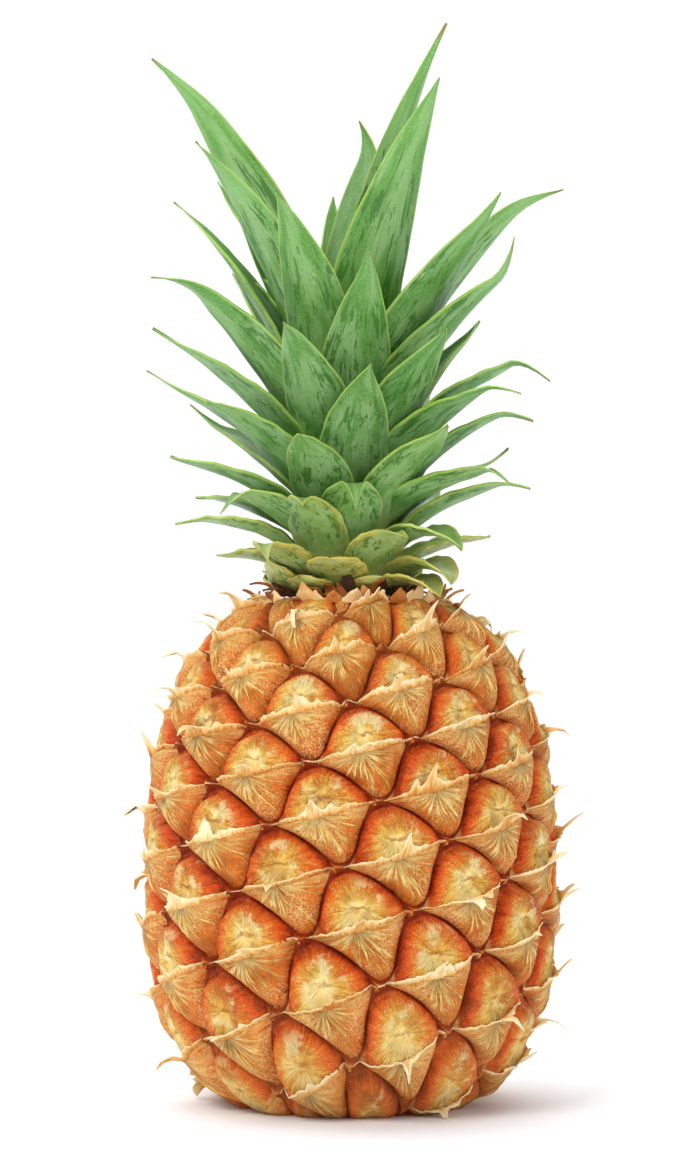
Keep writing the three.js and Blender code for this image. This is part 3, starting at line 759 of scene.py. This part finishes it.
for n in EYES_SHOWN:
    for k in range(THREADS_AN_EYE):
        item = THREADS_AN_EYE * n + k + 1000
        if chance(item, 61) < THREAD_SHARE:
            fan = THREAD_SPREAD * (chance(item, 62) - 0.5)
            near = mix(0.1, 0.3, chance(item, 63))
            far = near + mix(0.25, 0.5, chance(item, 64))
            add_thread(n, ((-near + fan * near) / 2, (-near - fan * near) / 2),
                       ((-far + 2 * fan * far) / 2, (-far - 2 * fan * far) / 2),
                       mix(*THREAD_RADIUS, chance(item, 65)), mix(0.0, 0.5, chance(item, 66)), item)
    if chance(n, 67) < HUSK_SHARE:
        add_thread(n, (0.46, -0.42), (0.43, mix(-0.49, -0.54, chance(n, 68))),
                   mix(*HUSK_RADIUS, chance(n, 69)), 0.2, n)
bpy.data.objects.remove(fibre_pattern)
bract_fibres = joined(threads, "bract_fibres")
bpy.ops.object.mode_set(mode="EDIT")
bpy.ops.mesh.select_all(action="SELECT")
bpy.ops.mesh.remove_doubles(threshold=1e-7)
bpy.ops.mesh.select_all(action="DESELECT")
bpy.ops.mesh.select_non_manifold()
bpy.ops.mesh.fill_holes(sides=0)
bpy.ops.mesh.select_all(action="SELECT")
bpy.ops.mesh.normals_make_consistent(inside=False)
bpy.ops.object.mode_set(mode="OBJECT")
bpy.ops.object.shade_smooth_by_angle(angle=math.radians(60))
thread_finish = Finish("dry_fibre")
spot = thread_finish.spot()
patch = thread_finish.noise(spot, 400, detail=3)
thread_colour = thread_finish.ramp(patch, [
    (0.3, (206, 144, 62)), (0.5, (232, 186, 96)), (0.7, (244, 214, 138))])
bract_fibres.data.materials.append(thread_finish.finish(thread_colour, 0.5, patch, 0.0002))
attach(bract_fibres, "root")

# ---------------------------------------------------------------------------
# The crown: stiff channelled leaves on a short stem, fleshy at the foot and sharp at the tip, with a
# pale waxy bloom outside, smooth margins and dry tips. They stand in one spiral, the oldest lowest.
LEAF_COUNT = 65
LEAF_DIVERGENCE_DEG = 138.25
LEAF_FIRST_DEG = -2
CORE_LOW_Z = 147.6
CORE_TOP_Z = 201.0
CORE_LOW_RADIUS = 17.5
CORE_TOP_RADIUS = 3.0
LEAF_LOW_Z = 148.5
LEAF_RISE = 0.72
STUNTED_LEAVES = 11
STUNTED_LOW = -1.4
STUNTED_REACH = (22, 27)
STUNTED_TIP_Z = (152.5, 158)
STUNTED_DROOP = -0.22
STUNTED_WIDTH = 0.85
OLD_HALF_WIDTH = 9
YOUNG_HALF_WIDTH = 12.6
HEART_WIDTH = 0.7
HEART_REACH = 0.55
TIP_RISE = 1.75
TIP_RISE_MORE = 0.01
HOOK_FROM = 0.87
HOOK_STRENGTH = 1.35
LEAF_ARCH = 0.14
LEAF_WIDEST = 0.35
LOW_LEAF_FOOT = 0.95
LEAF_FOOT = 0.6
ROOT_SINK = 2.2
TIP_LOW_Z = 158.0
TIP_REACH = 46.0
HEART_FIRST = 56
HEART_TIP_Z = 238.0
BLADE_THICK = 0.9
TIP_THINNESS = 0.25
BLADE_ACROSS = 14
BLADE_ALONG = 34

# Where the tips of some leaves are: right of the axis, in front of it, up, and how far the leaf bows
TIPS = {
    -3: (25, 27, 147, 0.3), 0: (-7, 31, 157.5, 0.04), 1: (-28, -30, 161), 2: (29, 27, 150, 0.35),
    3: (-26, 30, 162, 0.08), 4: (12, -38, 165), 5: (12, 31, 165.5, 0.08), 6: (-39, -6, 158, 0.2),
    7: (42, -12, 164),
    8: (-15, 33, 176), 10: (32, 27, 160, 0.42), 11: (-47, 3, 169, 0.2), 13: (1.5, 36, 180),
    15: (48, 6, 180.5), 16: (-34, 30, 176.5), 18: (27.5, 38, 193), 19: (-46, -14, 176.5),
    20: (44, -16, 187), 21: (-14.5, 38, 192.5), 23: (43, 28, 183), 24: (-53, 10, 186.5),
    26: (5, 42, 210), 27: (-44, -22, 199), 28: (49, 2, 202), 29: (-40, 33, 201.5),
    31: (27.5, 40, 221), 32: (-55, -12, 209.5), 34: (-18.5, 42, 223.5), 36: (44, 27, 208),
    37: (-53, 14, 221), 39: (5.5, 44, 241), 41: (54, 2, 217.5), 42: (-51, 32, 239),
    44: (43, 32, 259), 45: (-52, -12, 264), 46: (36, -26, 238), 47: (-20.5, 42, 259),
    48: (-18, -38, 240), 49: (49, 26, 242), 50: (-54, 4, 302), 51: (8, -16, 287),
    52: (25, 34, 292), 53: (-41, -26, 272), 54: (57, -6, 268), 55: (-43, 32, 275),
    56: (4, -34, 246), 57: (26, 20, 308), 61: (-6, -24, 267)}

# How far some leaves are rolled about their length, in degrees
ROLLS = {50: 42, 54: -30}

# How far the last part of some leaves hooks or curls away: right, in front, up
HOOKS = {
    3: (2, 3, -4), 5: (3, 2, -2), 8: (1, 3, -3), 11: (-3, 0, -1), 13: (0, 5, -7), 15: (3, 0, -2),
    16: (-2, 2, -5), 20: (2, 0, 3), 23: (2, 1, -4), 27: (-3, 0, 4), 28: (3, 0, -3), 32: (-4, 0, 3),
    36: (3, 0, -3), 37: (-3, 0, 2), 41: (3, 0, -6), 42: (-4, 0, -2), 49: (-2, 0, 5), 50: (-3, 0, 1),
    51: (-4, 0, 1), 54: (4, 0, -1), 57: (1, 0, 2)}


def core_radius(z):
    share = np.clip((z - CORE_LOW_Z) / (CORE_TOP_Z - CORE_LOW_Z), 0, 1)
    return mix(CORE_LOW_RADIUS, CORE_TOP_RADIUS, share ** 0.9)


def unit(vectors):
    return vectors / np.linalg.norm(vectors, axis=-1, keepdims=True)


def leaf_points(k, across, along):
    """The middle of blade k: across runs from -1 to 1 between its margins, along from root to tip."""
    age = max(0, k / (LEAF_COUNT - 1))
    azimuth = math.radians(LEAF_FIRST_DEG - LEAF_DIVERGENCE_DEG * k)
    root_z = LEAF_LOW_Z + LEAF_RISE * max(k, STUNTED_LOW)
    young = k >= HEART_FIRST
    reach = TIP_REACH * (HEART_REACH if young else 1) * mix(0.9, 1.1, chance(k, 4))
    height = HEART_TIP_Z if young else TIP_LOW_Z + TIP_RISE * k + TIP_RISE_MORE * k * k
    by_rule = (CROWN_X + reach * math.sin(azimuth), reach * math.cos(azimuth),
               height + 8 * (chance(k, 5) - 0.5))
    if k < 0:
        reach, height = mix(*STUNTED_REACH, chance(k, 4)), mix(*STUNTED_TIP_Z, chance(k, 5))
        by_rule = (CROWN_X + reach * math.sin(azimuth), reach * math.cos(azimuth), height, STUNTED_DROOP)
    right, front, top, *bow = TIPS.get(k, by_rule)
    out = np.array([math.sin(azimuth), -math.cos(azimuth), 0])
    root = out * (core_radius(root_z) - ROOT_SINK) + np.array([CROWN_X, 0, root_z])
    tip = np.array([right, -front, top])
    chord = tip - root
    length = np.linalg.norm(chord)
    line = chord / length
    rise = unit(np.array([0, 0, 1.0]) - line * line[2])
    bend = (root + tip) / 2 + rise * length * (bow[0] if bow else LEAF_ARCH)
    t = along[:, None]
    place = (1 - t) ** 2 * root + 2 * t * (1 - t) * bend + t * t * tip
    way = unit(2 * (1 - t) * (bend - root) + 2 * t * (tip - bend))
    level = unit(np.array([chord[0], chord[1], 0]))
    facing = unit(level + out)
    flat = np.array([-facing[1], facing[0], 0])
    side = unit(flat - way * (way @ flat)[:, None])
    roll = math.radians(ROLLS.get(k, 0)) * smooth(2 * along)[:, None]
    inward = np.cross(way, side)
    side, inward = side * np.cos(roll) + inward * np.sin(roll), inward * np.cos(roll) - side * np.sin(roll)
    half = mix(OLD_HALF_WIDTH, YOUNG_HALF_WIDTH, smooth(age * 1.25))
    half = half * (HEART_WIDTH if young else 1) * (STUNTED_WIDTH if k < 0 else 1)
    foot = mix(LOW_LEAF_FOOT, LEAF_FOOT, min(1, age * 3))
    blunt = mix(3.2, 1.7, min(1, age * 2))
    taper = 1 - np.clip((along - LEAF_WIDEST) / (1 - LEAF_WIDEST), 0, 1) ** blunt
    wave = 1 + 0.03 * ripple(along * 16, 3 * across, k + 700)
    width = half * np.maximum(taper, 0.02) * mix(foot, 1, smooth(along / LEAF_WIDEST)) * wave
    curve = mix(0.7, 0.9, age) * mix(1, 0.6, along)
    sideways = width * np.sin(curve * across) / curve
    raised = width * (1 - np.cos(curve * across)) / curve
    raised = raised + 0.5 * ripple(along * 9, across * 2.5, k + 800) * smooth(along * 3)
    raised = raised + 0.35 * np.abs(across) ** 3 * ripple(along * 30, across, k + 900)
    end = HOOK_STRENGTH * np.clip((along - HOOK_FROM) / (1 - HOOK_FROM), 0, 1) ** 2
    dx, dy, dz = HOOKS.get(k, (1.5 * (chance(k, 71) - 0.5), 1.0 * (chance(k, 72) - 0.3),
                               2.0 * (chance(k, 73) - 0.4)))
    hook = end[:, None] * np.array([dx, -dy, dz])
    return (place + side * sideways[:, None] + inward * raised[:, None] + hook) * MM


blade_pattern = sheet_pattern("blade_pattern", BLADE_ACROSS, BLADE_ALONG)
sheet = points_of(blade_pattern.data)
blades = []
for k in range(-STUNTED_LEAVES, LEAF_COUNT):
    points = leaf_points(k, 2 * sheet[:, 0], sheet[:, 1] + 0.5)
    blades.append(copy_of(blade_pattern, "blade", points,
                          leaf_age=max(0, k / (LEAF_COUNT - 1)), leaf_tone=chance(k, 74)))
bpy.data.objects.remove(blade_pattern)
crown_blades = joined(blades, "crown_blades")
for kind in ("leaf_outside", "leaf_inside", "leaf_margin"):
    crown_blades.data.materials.append(bpy.data.materials.new(kind))
fleshy = crown_blades.vertex_groups.new(name="fleshy")
row_of = np.arange(len(crown_blades.data.vertices)) // (BLADE_ACROSS + 1) % (BLADE_ALONG + 1)
for row in range(BLADE_ALONG + 1):
    fleshy.add(np.nonzero(row_of == row)[0].tolist(), 1 - (row / BLADE_ALONG) ** 4, "REPLACE")
wall = crown_blades.modifiers.new("thickness", "SOLIDIFY")
wall.vertex_group = "fleshy"
wall.thickness_vertex_group = TIP_THINNESS
wall.thickness = BLADE_THICK * MM
wall.offset = 0
wall.material_offset = 1
wall.material_offset_rim = 2
bpy.ops.object.modifier_apply(modifier=wall.name)
bpy.ops.object.shade_smooth_by_angle(angle=math.radians(50))


def leaf_finish(name, inside):
    """Green with fine long veins, a yellow foot, a pale bloom and dark scuffs outside, a dry tip."""
    leaf = Finish(name)
    spot = leaf.spot()
    across, along = leaf.sheet_place()
    age = leaf.tone("leaf_age")
    tone = leaf.tone("leaf_tone")
    seed = leaf.times(tone, 53.0)

    def stretched(over, down, **settings):
        """A noise with so many patches over the leaf's width and down its length."""
        return leaf.noise(leaf.combined(leaf.times(across, over), leaf.times(along, down), seed),
                          1.0, **settings)

    veins = stretched(60.0, 2.0, detail=2)
    cloud = stretched(3.0, 4.0, detail=4)
    scuff = stretched(9.0, 7.0, detail=6, roughness=0.75, distortion=0.8)
    grain = stretched(26.0, 7.0, detail=5, roughness=0.7)
    middle = leaf.math("ABSOLUTE", leaf.math("MULTIPLY_ADD", across, 2.0, -1.0))
    green = leaf.ramp(age, [
        (0.0, (196, 186, 88)), (0.08, (166, 184, 88)), (0.18, (122, 166, 72)),
        (0.45, (80, 138, 46)), (0.8, (94, 156, 40)), (1.0, (126, 182, 88))])
    if inside:
        green = leaf.mixed(0.3, green, srgb(74, 124, 70))
    green = leaf.mixed(leaf.between(cloud, 0.35, 0.7, 0, 0.4), green, srgb(70, 122, 52))
    # The tip is so narrow that the patterns would crowd there: they even out towards it
    even = leaf.between(along, 0.6, 0.85)
    grain, veins = (leaf.math("MULTIPLY_ADD", even, leaf.math("SUBTRACT", 0.45, noise), noise)
                    for noise in (grain, veins))
    bloom = leaf.times(leaf.between(grain, 0.3, 0.62, 0.35, 1),
                       leaf.between(cloud, 0.62, 0.4, 0.05, 0.45 if inside else 0.7))
    green = leaf.mixed(bloom, green, srgb(158, 192, 132))
    powder = leaf.noise(spot, 1500, detail=2, roughness=0.8)
    green = leaf.mixed(leaf.between(powder, 0.5, 0.66, 0, 0.2), green, srgb(190, 214, 160))
    if not inside:
        rubbed = leaf.math("MULTIPLY_ADD", leaf.math("ADD", middle, along), 0.05, scuff)
        rubbed = leaf.math("MULTIPLY_ADD", leaf.between(along, 0.72, 0.95), -0.2, rubbed)
        dark = leaf.times(leaf.between(rubbed, 0.585, 0.615, 0, 0.85),
                          leaf.between(along, 0.15, 0.4))
        green = leaf.mixed(dark, green, srgb(54, 108, 22))
    green = leaf.mixed(leaf.between(veins, 0.4, 0.7, 0, 0.2), green, srgb(80, 134, 56))
    foot = leaf.times(leaf.between(along, 0.3, 0.0), leaf.between(age, 0.9, 0.3, 0.2, 0.75))
    green = leaf.mixed(foot, green, srgb(206, 206, 120))
    margin = leaf.between(leaf.math("MULTIPLY_ADD", cloud, 0.06, middle), 0.94, 1.01, 0, 0.7)
    green = leaf.mixed(margin, green, srgb(176, 204, 92))
    ripe = leaf.times(leaf.between(age, 0.2, 0.02),
                      leaf.between(leaf.math("ADD", middle, cloud), 1.05, 1.6, 0, 0.7))
    green = leaf.mixed(ripe, green, srgb(226, 198, 92))
    tip = leaf.math("ADD", along, leaf.times(leaf.math("ADD", tone, cloud), 0.035))
    green = leaf.mixed(leaf.between(tip, 1.01, 1.04), green, srgb(132, 128, 56))
    relief = leaf.math("MULTIPLY_ADD", grain, 0.25, veins)
    return leaf.finish(green, leaf.between(cloud, 0.3, 0.7, 0.36, 0.5), relief, 0.0003, specular=0.45)


def margin_finish():
    """The smooth margin of a leaf: paler than the blade, yellow on the oldest."""
    edge = Finish("leaf_margin_green")
    spot = edge.spot()
    patch = edge.noise(spot, 120, detail=3)
    age = edge.tone("leaf_age")
    young = edge.ramp(age, [(0.0, (214, 190, 92)), (0.15, (190, 200, 104)),
                            (0.4, (160, 196, 88)), (1.0, (156, 196, 84))])
    tint = edge.mixed(edge.between(patch, 0.45, 0.65, 0, 0.7), young, srgb(116, 158, 66))
    return edge.finish(tint, 0.45, patch, 0.0001)


crown_blades.data.materials[0] = leaf_finish("leaf_green_outside", False)
crown_blades.data.materials[1] = leaf_finish("leaf_green_inside", True)
crown_blades.data.materials[2] = margin_finish()
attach(crown_blades, "root")
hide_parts("crown_leaves")

# ---------------------------------------------------------------------------
# The stem of the crown: a short cone of pale, fleshy fibre that the leaves grow from and hide. Its
# round foot goes on down into the fruit, where it sits in the hollow of the top.
STEM_FACES = 40
STEM_STEPS = 8
bpy.ops.object.select_all(action="DESELECT")
bpy.ops.mesh.primitive_cylinder_add(
    vertices=STEM_FACES, radius=PEG_RADIUS * MM, depth=(CORE_LOW_Z - PEG_LOW_Z) * MM,
    location=(CROWN_X * MM, 0, (PEG_LOW_Z + CORE_LOW_Z) / 2 * MM))
crown_stem = bpy.context.object
crown_stem.name = "crown_stem"
bpy.ops.object.transform_apply(location=True, rotation=True, scale=True)
bpy.ops.object.mode_set(mode="EDIT")
bpy.ops.mesh.select_mode(type="FACE")
stem_now = bmesh.from_edit_mesh(crown_stem.data)
for face in stem_now.faces:
    face.select_set(face.normal.z > 0.9)
bmesh.update_edit_mesh(crown_stem.data)
for i in range(STEM_STEPS + 1):
    z = mix(CORE_LOW_Z, CORE_TOP_Z, i / STEM_STEPS)
    bpy.ops.mesh.extrude_region_move()
    moved_to_circle(crown_stem, float(core_radius(z)), CROWN_X, z)
bpy.ops.object.mode_set(mode="OBJECT")
bpy.ops.object.shade_smooth_by_angle(angle=math.radians(50))
stem_finish = Finish("crown_stem_flesh")
spot = stem_finish.spot()
patch = stem_finish.noise(spot, 150, detail=4)
flesh = stem_finish.ramp(patch, [(0.3, (118, 134, 66)), (0.6, (188, 190, 118)), (0.8, (150, 110, 60))])
crown_stem.data.materials.append(stem_finish.finish(flesh, 0.6, patch, 0.0005))
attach(crown_stem, "root")

# ---------------------------------------------------------------------------
# The dry scales of the neck: small dead leaves between the fruit and the crown, dark brown and
# brittle, some pale as straw, that stand out and up in two loose rows on a dry ring.
RING_INNER = 13.0
RING_OUTER = 22.5
RING_SKIRT = 3
RING_LOW_Z = 146.5
RING_TOP_Z = 147.3
RING_CORNERS = 72
# Each row: how many, distance from the axis, height of the feet, least and most length and half
# width, least lean, and darkest and palest shade
SCALE_ROWS = [(26, 20.5, 147.0, (4.5, 8.5), (2.2, 3.8), 0.9, (0.0, 0.5)),
              (44, 27.0, 144.8, (3.5, 7.5), (2.0, 3.8), 0.8, (0.3, 0.95))]
SCALE_THICK = 0.5
SCALE_ACROSS = 6
SCALE_ALONG = 8
scale_pattern = sheet_pattern("scale_pattern", SCALE_ACROSS, SCALE_ALONG)
sheet = points_of(scale_pattern.data)
scales = []
for count, distance, foot, lengths, widths, least_lean, shades in SCALE_ROWS:
    for i in range(count):
        k = len(scales)
        across, along = 2 * sheet[:, 0], sheet[:, 1] + 0.5
        turn = math.tau * (i + 0.8 * chance(k, 9)) / count
        long, wide = mix(*lengths, chance(k, 7) ** 1.5), mix(*widths, chance(k, 10))
        start = distance + 1.2 * (chance(k, 81) - 0.5)
        lean = mix(least_lean, 1.6, chance(k, 8)) - mix(-0.4, 1.3, chance(k, 80)) * along
        outline = 1 - along ** mix(0.8, 1.8, chance(k, 82))
        width = wide * outline * (1 + 0.25 * ripple(along * 9, across, k + 60))
        far = start + long * along * np.cos(lean)
        high = foot + long * along * np.sin(lean) + 0.25 * ripple(across * 5, along * 4, k + 150)
        side = width * across + 1.5 * math.sin(9 * k) * along ** 2
        far = far - 0.5 * across ** 2 * wide / 4
        points = np.stack([
            CROWN_X * (foot > RING_LOW_Z) + far * math.sin(turn) + side * math.cos(turn),
            -far * math.cos(turn) + side * math.sin(turn), high], -1) * MM
        scales.append(copy_of(scale_pattern, "scale", points, scale_tone=mix(*shades, chance(k, 83))))
bpy.data.objects.remove(scale_pattern)
dry_scales = joined(scales, "dry_scales")
solidified(dry_scales, SCALE_THICK * MM)
bpy.ops.object.select_all(action="DESELECT")
bpy.ops.mesh.primitive_circle_add(vertices=RING_CORNERS, radius=RING_INNER * MM,
                                  location=(CROWN_X * MM, 0, RING_LOW_Z * MM))
ring = bpy.context.object
bpy.ops.object.transform_apply(location=True, rotation=True, scale=True)
bpy.ops.object.mode_set(mode="EDIT")
bpy.ops.mesh.select_all(action="SELECT")
for radius, height in [(RING_OUTER + RING_SKIRT, RING_LOW_Z - 0.2), (RING_OUTER, RING_TOP_Z),
                       (RING_INNER, RING_TOP_Z), (RING_INNER, RING_LOW_Z)]:
    bpy.ops.mesh.extrude_region_move()
    moved_to_circle(ring, radius, CROWN_X, height)
bpy.ops.mesh.select_all(action="SELECT")
bpy.ops.mesh.remove_doubles(threshold=1e-6)
bpy.ops.mesh.normals_make_consistent(inside=False)
bpy.ops.object.mode_set(mode="OBJECT")
neck_ring = joined([dry_scales, ring], "neck_ring")
bpy.ops.object.shade_smooth_by_angle(angle=math.radians(50))
scale_finish = Finish("dry_scale_brown")
spot = scale_finish.spot()
tone = scale_finish.tone("scale_tone")
patch = scale_finish.noise(spot, 300, detail=4)
brown = scale_finish.ramp(scale_finish.math("MULTIPLY_ADD", patch, 0.5, tone), [
    (0.3, (72, 48, 32)), (0.5, (110, 70, 40)), (0.68, (186, 112, 50)),
    (0.85, (214, 156, 84)), (1.0, (240, 206, 146))])
neck_ring.data.materials.append(scale_finish.finish(brown, 0.75, patch, 0.0005, specular=0.2))
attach(neck_ring, "root")
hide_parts("neck_scales")

# ---------------------------------------------------------------------------
# The stub of the stalk: fibrous wood, cut flat across with a knife, dry and split at the face. It
# sits in the hollow of the fruit's base and stays as it is modelled in the frame.
stub = Finish("cut_stalk_wood")
spot = stub.spot()
pores = stub.noise(spot, 900, detail=3, roughness=0.7)
rings = stub.noise(spot, 120, detail=4)
wood = stub.ramp(stub.math("MULTIPLY_ADD", pores, 0.5, stub.times(rings, 0.6)), [
    (0.35, (112, 78, 44)), (0.55, (176, 140, 88)), (0.75, (206, 178, 124))])
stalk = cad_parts["stalk_stub"]
stalk.data.materials.clear()
stalk.data.materials.append(stub.finish(wood, 0.8, pores, 0.0006, specular=0.2))

low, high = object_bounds()
